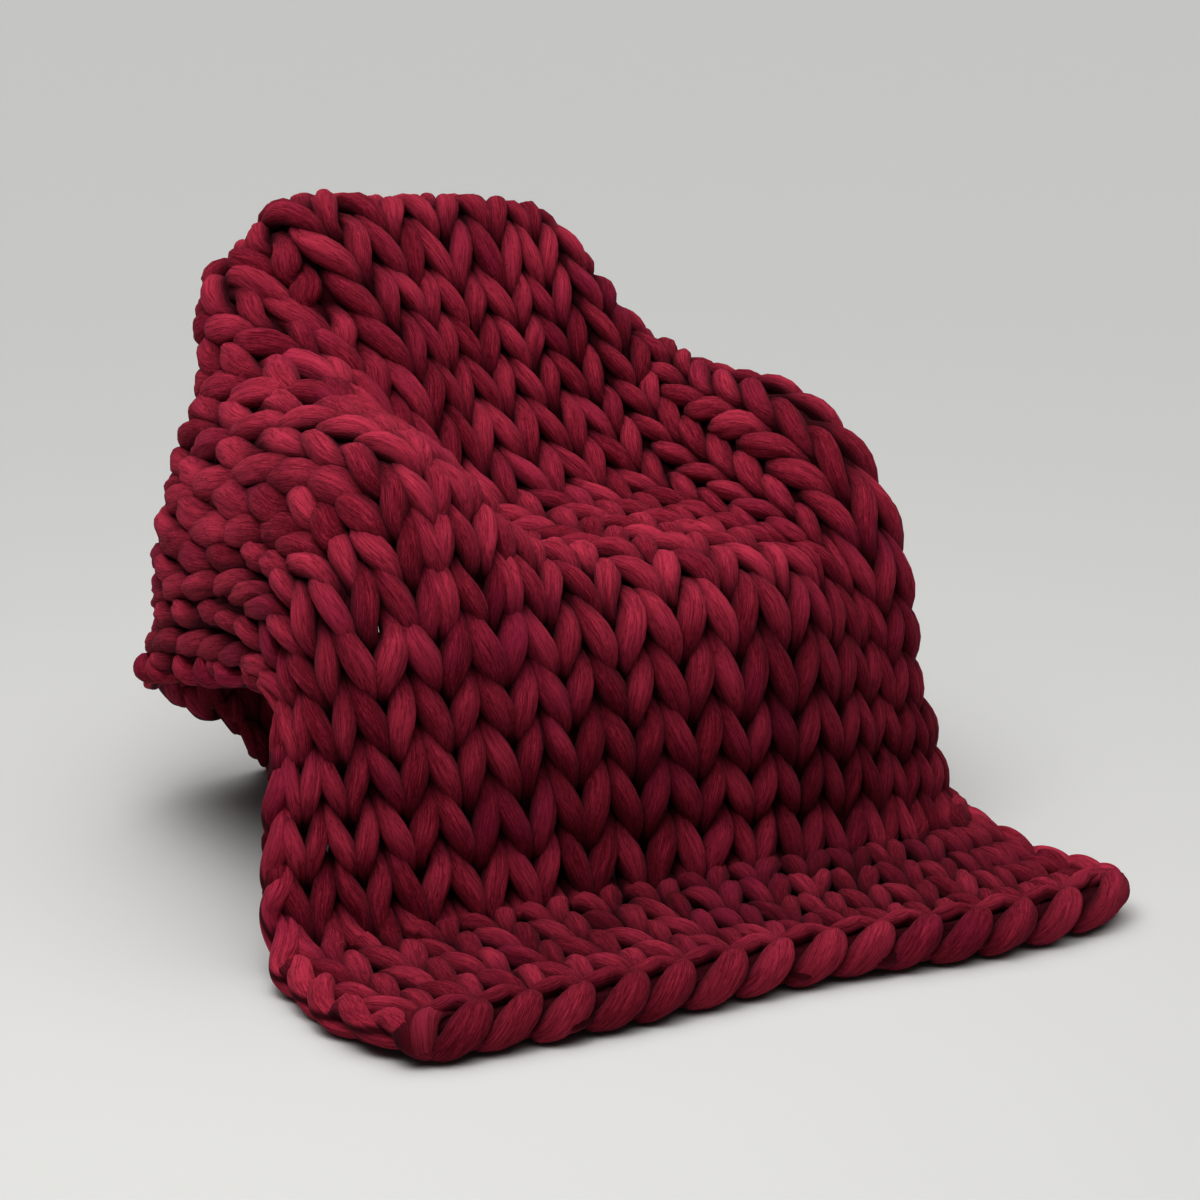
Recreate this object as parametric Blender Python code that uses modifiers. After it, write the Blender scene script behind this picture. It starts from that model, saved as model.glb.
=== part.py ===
"""A thick hand-knitted wool blanket, draped in the shape of an armchair.

The cloth is one sheet. Along it run courses (rows of stitches), numbered from the front hem on the
floor to the end edge behind; across it run wales (columns of stitches), numbered from the left
selvedge. Its shape is a net of guide wales. Each guide has a short table of the places where that
wale bends, and smooth curves join them along the wale and then from guide to guide.
Metres, +Z up, the front hem towards -Y.
"""

import bpy
import numpy as np

# Sizes of the cloth
WALES_ACROSS = 16
HEM_COURSE = -1
END_COURSE = 25
HEM_ENDS = 2
CLOTH_THICK = 0.050
HEM_THICK = 0.070
CELLS_ACROSS = 40
CELLS_LONG = 58

# Names, colour and roughness
NODE_NAME = "blanket"
COLLECTION_NAME = "chunky_knit_blanket"
MATERIAL_NAME = "burgundy_wool"
WOOL_COLOUR = (0.165, 0.012, 0.032, 1.0)
WOOL_ROUGHNESS = 0.9

CM = 0.01

# Guide wales. Columns of every table: course, then x to the right, y backwards and z up, in cm.
# The points lie in the middle of the cloth's thickness.
LEFT_EDGE = [
    (-1.0, -46.5, -72.0, 3.5),  # hem, round to the knot at its left end
    (0.0, -50.5, -66.5, 3.4),
    (1.6, -53.0, -56.0, 2.5),
    (3.3, -53.0, -44.5, 2.8),  # lifts off the floor
    (4.4, -52.0, -39.0, 9.0),
    (6.0, -50.5, -37.0, 20.0),
    (7.4, -48.0, -35.0, 28.5),
    (8.3, -46.0, -29.0, 31.5),  # turns back along the left side
    (10.5, -44.5, -11.0, 29.0),
    (12.7, -44.7, 7.0, 24.8),
    (14.2, -42.0, 19.5, 20.0),  # turns round the rear left corner
    (15.3, -36.5, 26.0, 15.0),
    (16.8, -28.5, 28.8, 9.0),
    (18.8, -21.0, 31.0, 0.3),  # stands on the floor from here
    (25.0, -8.5, 33.0, 0.3),  # rear left corner of the cloth
]
LEFT_SIDE = [
    (-1.0, -38.5, -74.5, 3.5),
    (0.0, -37.0, -67.0, 3.4),
    (1.7, -37.5, -55.0, 2.5),
    (3.4, -38.0, -44.0, 2.8),
    (4.4, -38.5, -40.5, 9.0),
    (6.4, -40.5, -40.0, 23.0),
    (8.2, -42.5, -39.5, 36.0),
    (9.4, -43.5, -37.5, 43.0),  # turns back along the left side
    (10.2, -43.5, -32.5, 45.5),
    (12.8, -42.5, -13.0, 42.5),
    (15.0, -42.0, 4.5, 40.0),
    (16.5, -39.5, 16.0, 38.0),  # rear left corner
    (17.8, -34.0, 23.0, 34.5),
    (19.5, -27.0, 27.0, 30.0),
    (22.0, -17.5, 29.3, 26.5),
    (25.0, -9.0, 30.7, 24.0),
]
LEFT_ARM = [
    (-1.0, -26.0, -76.2, 3.5),
    (0.0, -24.0, -68.5, 3.4),
    (1.8, -23.5, -56.0, 2.5),
    (3.6, -23.0, -44.5, 2.8),
    (4.6, -23.2, -41.5, 9.0),
    (6.5, -25.5, -41.0, 24.0),
    (8.5, -28.0, -41.0, 38.0),
    (10.5, -30.5, -40.0, 51.0),
    (11.6, -31.5, -38.0, 57.0),
    (12.5, -32.5, -33.5, 60.0),  # over the front of the left arm
    (13.5, -33.2, -25.0, 60.5),
    (15.0, -33.8, -8.5, 59.0),
    (16.3, -34.2, 4.0, 58.0),
    (17.5, -33.8, 15.0, 57.5),  # rear end of the arm
    (18.9, -29.5, 22.0, 56.5),
    (20.5, -23.5, 26.5, 54.5),
    (22.5, -16.5, 28.5, 51.0),
    (25.0, -9.5, 29.5, 47.0),
]
LEFT_SHOULDER = [
    (-1.0, -19.2, -76.0, 3.5),
    (0.0, -17.0, -68.8, 3.4),
    (1.8, -16.3, -56.3, 2.5),
    (3.6, -15.5, -44.8, 2.8),
    (4.6, -15.6, -41.8, 9.0),
    (6.5, -17.5, -41.3, 24.0),
    (8.4, -20.0, -41.0, 37.5),
    (9.7, -21.5, -39.5, 45.5),
    (10.8, -22.0, -35.0, 51.0),  # up the inside of the left arm
    (12.0, -22.0, -27.5, 54.0),
    (13.5, -22.5, -16.0, 55.5),
    (15.0, -23.5, -4.0, 58.5),
    (16.5, -25.0, 6.0, 63.0),
    (18.0, -28.5, 14.5, 68.0),
    (19.2, -30.3, 20.5, 71.0),  # left shoulder of the backrest
    (20.4, -28.0, 25.0, 70.5),
    (22.0, -20.5, 28.0, 66.0),
    (25.0, -10.0, 29.0, 54.5),
]
LEFT_SEAT = [
    (-1.0, -12.5, -75.5, 3.5),
    (0.0, -10.0, -69.0, 3.4),
    (1.8, -9.0, -56.5, 2.5),
    (3.6, -8.0, -45.0, 2.8),
    (4.6, -8.0, -42.0, 9.0),
    (6.5, -9.5, -41.5, 24.0),
    (8.3, -12.0, -41.0, 36.0),
    (9.4, -13.0, -38.0, 42.0),  # over the seat's front
    (10.4, -13.0, -32.0, 44.0),
    (12.5, -13.5, -19.0, 44.0),
    (14.3, -13.0, -7.5, 44.5),
    (15.3, -12.5, -1.0, 47.5),  # up the backrest
    (17.2, -14.0, 6.0, 59.5),
    (19.6, -20.0, 13.0, 73.0),
    (21.2, -23.0, 18.3, 79.0),  # over its top
    (22.4, -21.5, 24.5, 77.2),
    (23.6, -16.5, 28.0, 70.0),
    (25.0, -10.0, 29.0, 60.5),
]
MIDDLE = [
    (-1.0, -1.0, -75.5, 3.5),
    (0.0, 1.5, -69.5, 3.4),
    (1.8, 4.0, -57.0, 2.5),
    (3.7, 7.5, -45.5, 2.8),
    (4.7, 9.0, -42.0, 9.0),
    (6.7, 7.5, -41.5, 23.0),
    (8.2, 6.0, -40.5, 35.0),
    (9.2, 5.5, -37.5, 40.5),
    (10.2, 5.5, -32.0, 42.0),
    (12.5, 5.0, -18.0, 42.0),
    (14.3, 3.0, -6.0, 43.0),
    (15.3, 1.5, 0.0, 46.5),
    (17.0, -0.5, 7.0, 56.5),
    (19.5, -3.5, 13.5, 71.0),
    (21.3, -5.5, 18.0, 80.5),
    (22.5, -5.0, 24.5, 79.2),
    (23.7, -4.0, 28.0, 69.5),
    (25.0, -2.0, 29.0, 58.5),
]
RIGHT_SEAT = [
    (-1.0, 10.0, -76.7, 3.5),
    (0.0, 12.0, -71.0, 3.4),
    (1.9, 16.0, -58.0, 2.5),
    (3.9, 22.5, -46.0, 2.8),
    (4.9, 23.5, -42.0, 9.0),
    (6.7, 23.0, -41.5, 22.0),
    (8.0, 22.5, -40.5, 32.0),
    (9.0, 22.0, -37.5, 38.5),
    (10.0, 21.0, -32.0, 41.0),
    (12.3, 19.5, -17.5, 42.0),
    (14.2, 17.5, -5.0, 43.5),
    (15.3, 16.5, 1.0, 47.5),
    (17.0, 13.5, 7.0, 56.5),
    (19.5, 11.0, 13.0, 69.5),
    (21.3, 10.0, 17.5, 79.3),
    (22.5, 9.5, 24.0, 78.0),
    (23.7, 8.0, 27.8, 68.8),
    (25.0, 6.0, 29.0, 59.0),
]
RIGHT_SLOPE = [
    (-1.0, 19.0, -77.8, 3.5),
    (0.0, 21.0, -73.0, 3.4),
    (2.0, 25.5, -60.0, 2.5),
    (4.1, 31.0, -46.5, 2.8),
    (5.1, 33.0, -41.3, 9.0),
    (6.7, 32.0, -40.0, 20.5),
    (8.3, 30.5, -38.5, 32.0),
    (9.3, 28.5, -36.5, 39.0),
    (10.4, 26.0, -33.0, 43.5),  # up the inside of the right arm
    (12.4, 25.5, -20.5, 47.0),
    (14.4, 25.5, -6.5, 49.5),
    (16.3, 24.5, 4.5, 54.5),
    (18.3, 21.5, 10.5, 64.0),
    (20.3, 18.5, 16.0, 73.0),
    (21.4, 16.5, 20.0, 75.5),
    (22.5, 15.0, 24.5, 73.8),
    (23.7, 12.5, 27.7, 68.0),
    (25.0, 9.5, 28.5, 60.5),
]
RIGHT_ARM = [
    (-1.0, 28.0, -78.3, 3.5),
    (0.0, 29.7, -74.0, 3.4),
    (2.0, 34.5, -60.3, 2.5),
    (4.2, 38.5, -46.5, 2.8),
    (5.2, 39.0, -41.0, 8.5),
    (6.9, 38.0, -39.3, 19.0),
    (8.4, 36.7, -38.4, 30.0),
    (9.5, 35.7, -37.5, 37.5),
    (10.5, 35.0, -33.5, 45.0),
    (11.5, 34.7, -27.5, 51.0),  # over the front of the right arm
    (12.5, 34.3, -20.0, 54.5),
    (13.5, 34.0, -12.0, 56.0),
    (14.8, 33.3, -3.0, 56.0),
    (16.3, 33.5, 6.0, 56.5),
    (17.5, 32.5, 14.0, 56.5),  # rear end of the arm
    (18.9, 28.8, 21.5, 55.7),
    (20.5, 23.5, 26.0, 54.0),
    (22.5, 16.5, 28.5, 50.5),
    (25.0, 9.5, 29.5, 46.5),
]
RIGHT_SIDE = [
    (-1.0, 37.0, -77.8, 3.5),
    (0.0, 39.3, -73.8, 3.4),
    (2.0, 41.3, -60.8, 2.5),
    (4.3, 42.5, -46.0, 2.8),
    (5.3, 43.3, -37.5, 8.0),
    (7.0, 42.3, -33.5, 18.0),
    (8.8, 40.9, -31.0, 29.0),
    (10.0, 39.5, -27.5, 37.0),  # turns back along the right side
    (11.0, 39.5, -21.5, 41.0),
    (13.0, 39.5, -9.0, 42.5),
    (16.0, 39.0, 9.5, 42.0),
    (17.3, 35.5, 18.5, 40.0),  # rear right corner
    (19.3, 28.0, 25.8, 34.5),
    (22.0, 17.5, 29.0, 29.0),
    (25.0, 9.0, 30.5, 26.0),
]
RIGHT_EDGE = [
    (-1.0, 45.3, -75.5, 3.5),
    (0.0, 48.3, -70.8, 3.4),
    (2.0, 47.3, -59.0, 2.5),
    (4.2, 46.0, -41.0, 2.8),
    (5.3, 44.5, -30.0, 7.0),
    (6.6, 43.3, -24.5, 13.5),
    (7.8, 42.5, -19.5, 19.5),
    (9.0, 42.0, -13.5, 23.5),
    (11.0, 41.5, -4.5, 26.0),
    (13.5, 40.5, 11.0, 24.5),
    (15.0, 35.5, 20.0, 19.5),
    (16.6, 28.5, 28.0, 9.0),
    (18.6, 21.0, 30.5, 0.3),
    (25.0, 8.5, 32.5, 0.3),
]

# Columns: wale number from the left selvedge, table of that guide.
GUIDES = [
    (0.0, LEFT_EDGE),
    (2.0, LEFT_SIDE),
    (4.0, LEFT_ARM),
    (5.0, LEFT_SHOULDER),
    (6.0, LEFT_SEAT),
    (8.0, MIDDLE),
    (10.0, RIGHT_SEAT),
    (11.5, RIGHT_SLOPE),
    (13.0, RIGHT_ARM),
    (14.5, RIGHT_SIDE),
    (16.0, RIGHT_EDGE),
]


def curve_through(stations, values, slopes, wanted):
    """Values at the wanted stations, on the cubic pieces with these values and slopes at the stations."""
    column = (-1,) + (1,) * (values.ndim - 1)
    gap = np.diff(stations)
    span = np.clip(np.searchsorted(stations, wanted, side="right") - 1, 0, len(gap) - 1)
    width = gap[span].reshape(column)
    part = (wanted - stations[span]).reshape(column) / width
    start_weight = 2 * part**3 - 3 * part**2 + 1
    start_pull = (part**3 - 2 * part**2 + part) * width
    end_pull = (part**3 - part**2) * width
    return (
        start_weight * values[span]
        + (1 - start_weight) * values[span + 1]
        + start_pull * slopes[span]
        + end_pull * slopes[span + 1]
    )


def flat_keeping_curve(stations, values, wanted):
    """A curve that makes no new high or low, so that a flat stretch stays flat.

    Each inner slope is the weighted harmonic mean of the slopes on both sides, or none at a turning point.
    """
    column = (-1,) + (1,) * (values.ndim - 1)
    gap = np.diff(stations)
    rise = np.diff(values, axis=0) / gap.reshape(column)
    before, after = rise[:-1], rise[1:]
    weight_before = (2 * gap[1:] + gap[:-1]).reshape(column)
    weight_after = (gap[1:] + 2 * gap[:-1]).reshape(column)
    climbs_on = before * after > 0
    safe_before = np.where(climbs_on, before, 1.0)
    safe_after = np.where(climbs_on, after, 1.0)
    mean = (weight_before + weight_after) / (weight_before / safe_before + weight_after / safe_after)
    slopes = np.concatenate([rise[:1], np.where(climbs_on, mean, 0.0), rise[-1:]])
    return curve_through(stations, values, slopes, wanted)


def round_curve(stations, values, wanted):
    """A rounder curve: each inner slope is the mean of the slopes on both sides, the nearer one weighing more."""
    column = (-1,) + (1,) * (values.ndim - 1)
    gap = np.diff(stations)
    rise = np.diff(values, axis=0) / gap.reshape(column)
    before, after = gap[:-1].reshape(column), gap[1:].reshape(column)
    mean = (after * rise[:-1] + before * rise[1:]) / (before + after)
    slopes = np.concatenate([rise[:1], mean, rise[-1:]])
    return curve_through(stations, values, slopes, wanted)


def cloth_points(wales, courses):
    """Points of the cloth's middle surface, one line of points per course, in metres."""
    lines = []
    for _, table in GUIDES:
        rows = np.array(table)
        lines.append(flat_keeping_curve(rows[:, 0], rows[:, 1:] * CM, courses))
    guide_wales = np.array([wale for wale, _ in GUIDES])
    across = round_curve(guide_wales, np.array(lines), wales)
    return np.swapaxes(across, 0, 1)


def net_of_faces(lines, columns):
    """The four corners of every cell in a net of points, counted line by line."""
    first = np.arange(lines * columns).reshape(lines, columns)
    corners = [first[:-1, :-1], first[:-1, 1:], first[1:, 1:], first[1:, :-1]]
    return np.stack(corners, axis=-1).reshape(-1, 4)


def wool_material():
    material = bpy.data.materials.new(MATERIAL_NAME)
    material.use_nodes = True
    surface = material.node_tree.nodes["Principled BSDF"]
    surface.inputs["Base Color"].default_value = WOOL_COLOUR
    surface.inputs["Roughness"].default_value = WOOL_ROUGHNESS
    return material


def make_blanket(collection):
    """One closed solid: the draped net thickened equally to both sides, centred over its footprint.

    Near the hem the thickness is twice the height of the cloth's middle, so that it lies flat on the floor.
    """
    wales = np.linspace(0, WALES_ACROSS, CELLS_ACROSS + 1)
    courses = np.linspace(HEM_COURSE, END_COURSE, CELLS_LONG + 1)
    points = cloth_points(wales, courses).reshape(-1, 3)
    faces = net_of_faces(len(courses), len(wales))
    mesh = bpy.data.meshes.new(NODE_NAME)
    mesh.from_pydata(points.tolist(), [], faces.tolist())
    mesh.materials.append(wool_material())
    blanket = bpy.data.objects.new(NODE_NAME, mesh)
    collection.objects.link(blanket)
    hem = blanket.vertex_groups.new(name="hem")
    height = points[:, 2] - CLOTH_THICK / 2
    near_hem = np.repeat(courses < HEM_ENDS, len(wales))
    hem_share = np.where(near_hem, np.clip(2 * height / (HEM_THICK - CLOTH_THICK), 0, 1), 0)
    for index, share in enumerate(hem_share.tolist()):
        hem.add([index], share, "REPLACE")
    thickness = blanket.modifiers.new("thickness", "SOLIDIFY")
    thickness.thickness = HEM_THICK
    thickness.vertex_group = hem.name
    thickness.thickness_vertex_group = CLOTH_THICK / HEM_THICK
    thickness.offset = 0.0
    thickness.use_even_offset = False
    bpy.context.view_layer.update()
    box = np.array(blanket.evaluated_get(bpy.context.evaluated_depsgraph_get()).bound_box)
    low, high = box.min(axis=0), box.max(axis=0)
    to_centre = np.array([-(low[0] + high[0]) / 2, -(low[1] + high[1]) / 2, -low[2]])
    mesh.vertices.foreach_set("co", (points + to_centre).ravel())
    mesh.update()
    print("moved by", to_centre.round(4), "size", (high - low).round(4))


def main():
    for existing in list(bpy.data.objects):
        bpy.data.objects.remove(existing, do_unlink=True)
    collection = bpy.data.collections.new(COLLECTION_NAME)
    bpy.context.scene.collection.children.link(collection)
    make_blanket(collection)


main()
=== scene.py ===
import math

import bpy
import numpy as np
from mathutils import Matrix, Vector


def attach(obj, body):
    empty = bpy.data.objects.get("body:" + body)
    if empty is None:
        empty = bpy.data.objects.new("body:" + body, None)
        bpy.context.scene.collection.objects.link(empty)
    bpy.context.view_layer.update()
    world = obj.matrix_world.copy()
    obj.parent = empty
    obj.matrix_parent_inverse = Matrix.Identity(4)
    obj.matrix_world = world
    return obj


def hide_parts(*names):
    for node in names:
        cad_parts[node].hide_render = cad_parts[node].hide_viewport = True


# A thick hand-knitted wool blanket, draped in the shape of an armchair. Its strand is modelled stitch by
# stitch: a roving runs back and forth in courses (rows), and every loop of it is carried by the cloth's
# middle surface, which is the same net of guide wales (columns of stitches) as in the solid.

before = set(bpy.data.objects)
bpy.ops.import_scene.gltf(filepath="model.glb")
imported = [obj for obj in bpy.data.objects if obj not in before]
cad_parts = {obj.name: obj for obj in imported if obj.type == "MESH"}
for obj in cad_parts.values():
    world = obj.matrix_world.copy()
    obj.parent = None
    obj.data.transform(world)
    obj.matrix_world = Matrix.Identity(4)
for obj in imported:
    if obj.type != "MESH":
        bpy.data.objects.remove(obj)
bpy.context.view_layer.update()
turn = 2 * math.pi
cm = 0.01

# Guide wales. Columns of every table: course, then x to the right, y backwards and z up, in cm.
leftEdge = [
    (-1.0, -46.5, -72.0, 3.5),  # hem, round to the knot at its left end
    (0.0, -50.5, -66.5, 3.4),
    (1.6, -53.0, -56.0, 2.5),
    (3.3, -53.0, -44.5, 2.8),  # lifts off the floor
    (4.4, -52.0, -39.0, 9.0),
    (6.0, -50.5, -37.0, 20.0),
    (7.4, -48.0, -35.0, 28.5),
    (8.3, -46.0, -29.0, 31.5),  # turns back along the left side
    (10.5, -44.5, -11.0, 29.0),
    (12.7, -44.7, 7.0, 24.8),
    (14.2, -42.0, 19.5, 20.0),  # turns round the rear left corner
    (15.3, -36.5, 26.0, 15.0),
    (16.8, -28.5, 28.8, 9.0),
    (18.8, -21.0, 31.0, 0.3),  # stands on the floor from here
    (25.0, -8.5, 33.0, 0.3),  # rear left corner of the cloth
]
leftSide = [
    (-1.0, -38.5, -74.5, 3.5),
    (0.0, -37.0, -67.0, 3.4),
    (1.7, -37.5, -55.0, 2.5),
    (3.4, -38.0, -44.0, 2.8),
    (4.4, -38.5, -40.5, 9.0),
    (6.4, -40.5, -40.0, 23.0),
    (8.2, -42.5, -39.5, 36.0),
    (9.4, -43.5, -37.5, 43.0),  # turns back along the left side
    (10.2, -43.5, -32.5, 45.5),
    (12.8, -42.5, -13.0, 42.5),
    (15.0, -42.0, 4.5, 40.0),
    (16.5, -39.5, 16.0, 38.0),  # rear left corner
    (17.8, -34.0, 23.0, 34.5),
    (19.5, -27.0, 27.0, 30.0),
    (22.0, -17.5, 29.3, 26.5),
    (25.0, -9.0, 30.7, 24.0),
]
leftArm = [
    (-1.0, -26.0, -76.2, 3.5),
    (0.0, -24.0, -68.5, 3.4),
    (1.8, -23.5, -56.0, 2.5),
    (3.6, -23.0, -44.5, 2.8),
    (4.6, -23.2, -41.5, 9.0),
    (6.5, -25.5, -41.0, 24.0),
    (8.5, -28.0, -41.0, 38.0),
    (10.5, -30.5, -40.0, 51.0),
    (11.6, -31.5, -38.0, 57.0),
    (12.5, -32.5, -33.5, 60.0),  # over the front of the left arm
    (13.5, -33.2, -25.0, 60.5),
    (15.0, -33.8, -8.5, 59.0),
    (16.3, -34.2, 4.0, 58.0),
    (17.5, -33.8, 15.0, 57.5),  # rear end of the arm
    (18.9, -29.5, 22.0, 56.5),
    (20.5, -23.5, 26.5, 54.5),
    (22.5, -16.5, 28.5, 51.0),
    (25.0, -9.5, 29.5, 47.0),
]
leftShoulder = [
    (-1.0, -19.2, -76.0, 3.5),
    (0.0, -17.0, -68.8, 3.4),
    (1.8, -16.3, -56.3, 2.5),
    (3.6, -15.5, -44.8, 2.8),
    (4.6, -15.6, -41.8, 9.0),
    (6.5, -17.5, -41.3, 24.0),
    (8.4, -20.0, -41.0, 37.5),
    (9.7, -21.5, -39.5, 45.5),
    (10.8, -22.0, -35.0, 51.0),  # up the inside of the left arm
    (12.0, -22.0, -27.5, 54.0),
    (13.5, -22.5, -16.0, 55.5),
    (15.0, -23.5, -4.0, 58.5),
    (16.5, -25.0, 6.0, 63.0),
    (18.0, -28.5, 14.5, 68.0),
    (19.2, -30.3, 20.5, 71.0),  # left shoulder of the backrest
    (20.4, -28.0, 25.0, 70.5),
    (22.0, -20.5, 28.0, 66.0),
    (25.0, -10.0, 29.0, 54.5),
]
leftSeat = [
    (-1.0, -12.5, -75.5, 3.5),
    (0.0, -10.0, -69.0, 3.4),
    (1.8, -9.0, -56.5, 2.5),
    (3.6, -8.0, -45.0, 2.8),
    (4.6, -8.0, -42.0, 9.0),
    (6.5, -9.5, -41.5, 24.0),
    (8.3, -12.0, -41.0, 36.0),
    (9.4, -13.0, -38.0, 42.0),  # over the seat's front
    (10.4, -13.0, -32.0, 44.0),
    (12.5, -13.5, -19.0, 44.0),
    (14.3, -13.0, -7.5, 44.5),
    (15.3, -12.5, -1.0, 47.5),  # up the backrest
    (17.2, -14.0, 6.0, 59.5),
    (19.6, -20.0, 13.0, 73.0),
    (21.2, -23.0, 18.3, 79.0),  # over its top
    (22.4, -21.5, 24.5, 77.2),
    (23.6, -16.5, 28.0, 70.0),
    (25.0, -10.0, 29.0, 60.5),
]
centreLine = [
    (-1.0, -1.0, -75.5, 3.5),
    (0.0, 1.5, -69.5, 3.4),
    (1.8, 4.0, -57.0, 2.5),
    (3.7, 7.5, -45.5, 2.8),
    (4.7, 9.0, -42.0, 9.0),
    (6.7, 7.5, -41.5, 23.0),
    (8.2, 6.0, -40.5, 35.0),
    (9.2, 5.5, -37.5, 40.5),
    (10.2, 5.5, -32.0, 42.0),
    (12.5, 5.0, -18.0, 42.0),
    (14.3, 3.0, -6.0, 43.0),
    (15.3, 1.5, 0.0, 46.5),
    (17.0, -0.5, 7.0, 56.5),
    (19.5, -3.5, 13.5, 71.0),
    (21.3, -5.5, 18.0, 80.5),
    (22.5, -5.0, 24.5, 79.2),
    (23.7, -4.0, 28.0, 69.5),
    (25.0, -2.0, 29.0, 58.5),
]
rightSeat = [
    (-1.0, 10.0, -76.7, 3.5),
    (0.0, 12.0, -71.0, 3.4),
    (1.9, 16.0, -58.0, 2.5),
    (3.9, 22.5, -46.0, 2.8),
    (4.9, 23.5, -42.0, 9.0),
    (6.7, 23.0, -41.5, 22.0),
    (8.0, 22.5, -40.5, 32.0),
    (9.0, 22.0, -37.5, 38.5),
    (10.0, 21.0, -32.0, 41.0),
    (12.3, 19.5, -17.5, 42.0),
    (14.2, 17.5, -5.0, 43.5),
    (15.3, 16.5, 1.0, 47.5),
    (17.0, 13.5, 7.0, 56.5),
    (19.5, 11.0, 13.0, 69.5),
    (21.3, 10.0, 17.5, 79.3),
    (22.5, 9.5, 24.0, 78.0),
    (23.7, 8.0, 27.8, 68.8),
    (25.0, 6.0, 29.0, 59.0),
]
rightSlope = [
    (-1.0, 19.0, -77.8, 3.5),
    (0.0, 21.0, -73.0, 3.4),
    (2.0, 25.5, -60.0, 2.5),
    (4.1, 31.0, -46.5, 2.8),
    (5.1, 33.0, -41.3, 9.0),
    (6.7, 32.0, -40.0, 20.5),
    (8.3, 30.5, -38.5, 32.0),
    (9.3, 28.5, -36.5, 39.0),
    (10.4, 26.0, -33.0, 43.5),  # up the inside of the right arm
    (12.4, 25.5, -20.5, 47.0),
    (14.4, 25.5, -6.5, 49.5),
    (16.3, 24.5, 4.5, 54.5),
    (18.3, 21.5, 10.5, 64.0),
    (20.3, 18.5, 16.0, 73.0),
    (21.4, 16.5, 20.0, 75.5),
    (22.5, 15.0, 24.5, 73.8),
    (23.7, 12.5, 27.7, 68.0),
    (25.0, 9.5, 28.5, 60.5),
]
rightArm = [
    (-1.0, 28.0, -78.3, 3.5),
    (0.0, 29.7, -74.0, 3.4),
    (2.0, 34.5, -60.3, 2.5),
    (4.2, 38.5, -46.5, 2.8),
    (5.2, 39.0, -41.0, 8.5),
    (6.9, 38.0, -39.3, 19.0),
    (8.4, 36.7, -38.4, 30.0),
    (9.5, 35.7, -37.5, 37.5),
    (10.5, 35.0, -33.5, 45.0),
    (11.5, 34.7, -27.5, 51.0),  # over the front of the right arm
    (12.5, 34.3, -20.0, 54.5),
    (13.5, 34.0, -12.0, 56.0),
    (14.8, 33.3, -3.0, 56.0),
    (16.3, 33.5, 6.0, 56.5),
    (17.5, 32.5, 14.0, 56.5),  # rear end of the arm
    (18.9, 28.8, 21.5, 55.7),
    (20.5, 23.5, 26.0, 54.0),
    (22.5, 16.5, 28.5, 50.5),
    (25.0, 9.5, 29.5, 46.5),
]
rightSide = [
    (-1.0, 37.0, -77.8, 3.5),
    (0.0, 39.3, -73.8, 3.4),
    (2.0, 41.3, -60.8, 2.5),
    (4.3, 42.5, -46.0, 2.8),
    (5.3, 43.3, -37.5, 8.0),
    (7.0, 42.3, -33.5, 18.0),
    (8.8, 40.9, -31.0, 29.0),
    (10.0, 39.5, -27.5, 37.0),  # turns back along the right side
    (11.0, 39.5, -21.5, 41.0),
    (13.0, 39.5, -9.0, 42.5),
    (16.0, 39.0, 9.5, 42.0),
    (17.3, 35.5, 18.5, 40.0),  # rear right corner
    (19.3, 28.0, 25.8, 34.5),
    (22.0, 17.5, 29.0, 29.0),
    (25.0, 9.0, 30.5, 26.0),
]
rightEdge = [
    (-1.0, 45.3, -75.5, 3.5),
    (0.0, 48.3, -70.8, 3.4),
    (2.0, 47.3, -59.0, 2.5),
    (4.2, 46.0, -41.0, 2.8),
    (5.3, 44.5, -30.0, 7.0),
    (6.6, 43.3, -24.5, 13.5),
    (7.8, 42.5, -19.5, 19.5),
    (9.0, 42.0, -13.5, 23.5),
    (11.0, 41.5, -4.5, 26.0),
    (13.5, 40.5, 11.0, 24.5),
    (15.0, 35.5, 20.0, 19.5),
    (16.6, 28.5, 28.0, 9.0),
    (18.6, 21.0, 30.5, 0.3),
    (25.0, 8.5, 32.5, 0.3),
]

# Wale of every table, counted from the left edge.
guideWales = [
    (0.0, leftEdge),
    (2.0, leftSide),
    (4.0, leftArm),
    (5.0, leftShoulder),
    (6.0, leftSeat),
    (8.0, centreLine),
    (10.0, rightSeat),
    (11.5, rightSlope),
    (13.0, rightArm),
    (14.5, rightSide),
    (16.0, rightEdge),
]

clothSettings = {
    "tablesToFrame": (0.0233, 0.2146, 0.0),  # m, from the tables' zero to the middle of the footprint
    "wales": 16,
    "firstCourse": -1.0,
    "lastCourse": 25.0,
    "linesPerWale": 16,
    "linesPerCourse": 14,
    "arcPoints": 161,  # across the cloth, where widths are added up
    "usualWale": 0.082,  # m, width of a stitch that the strand sizes below are for
    "usualCourse": 0.065,  # m, height of that stitch
    "narrowest": 0.76,  # least and most that crowded or stretched stitches narrow or widen the strand
    "widest": 1.34,
}


def unit(vectors):
    # each vector divided by its own length
    return vectors / np.maximum(np.linalg.norm(vectors, axis=-1, keepdims=True), 1e-12)


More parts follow.
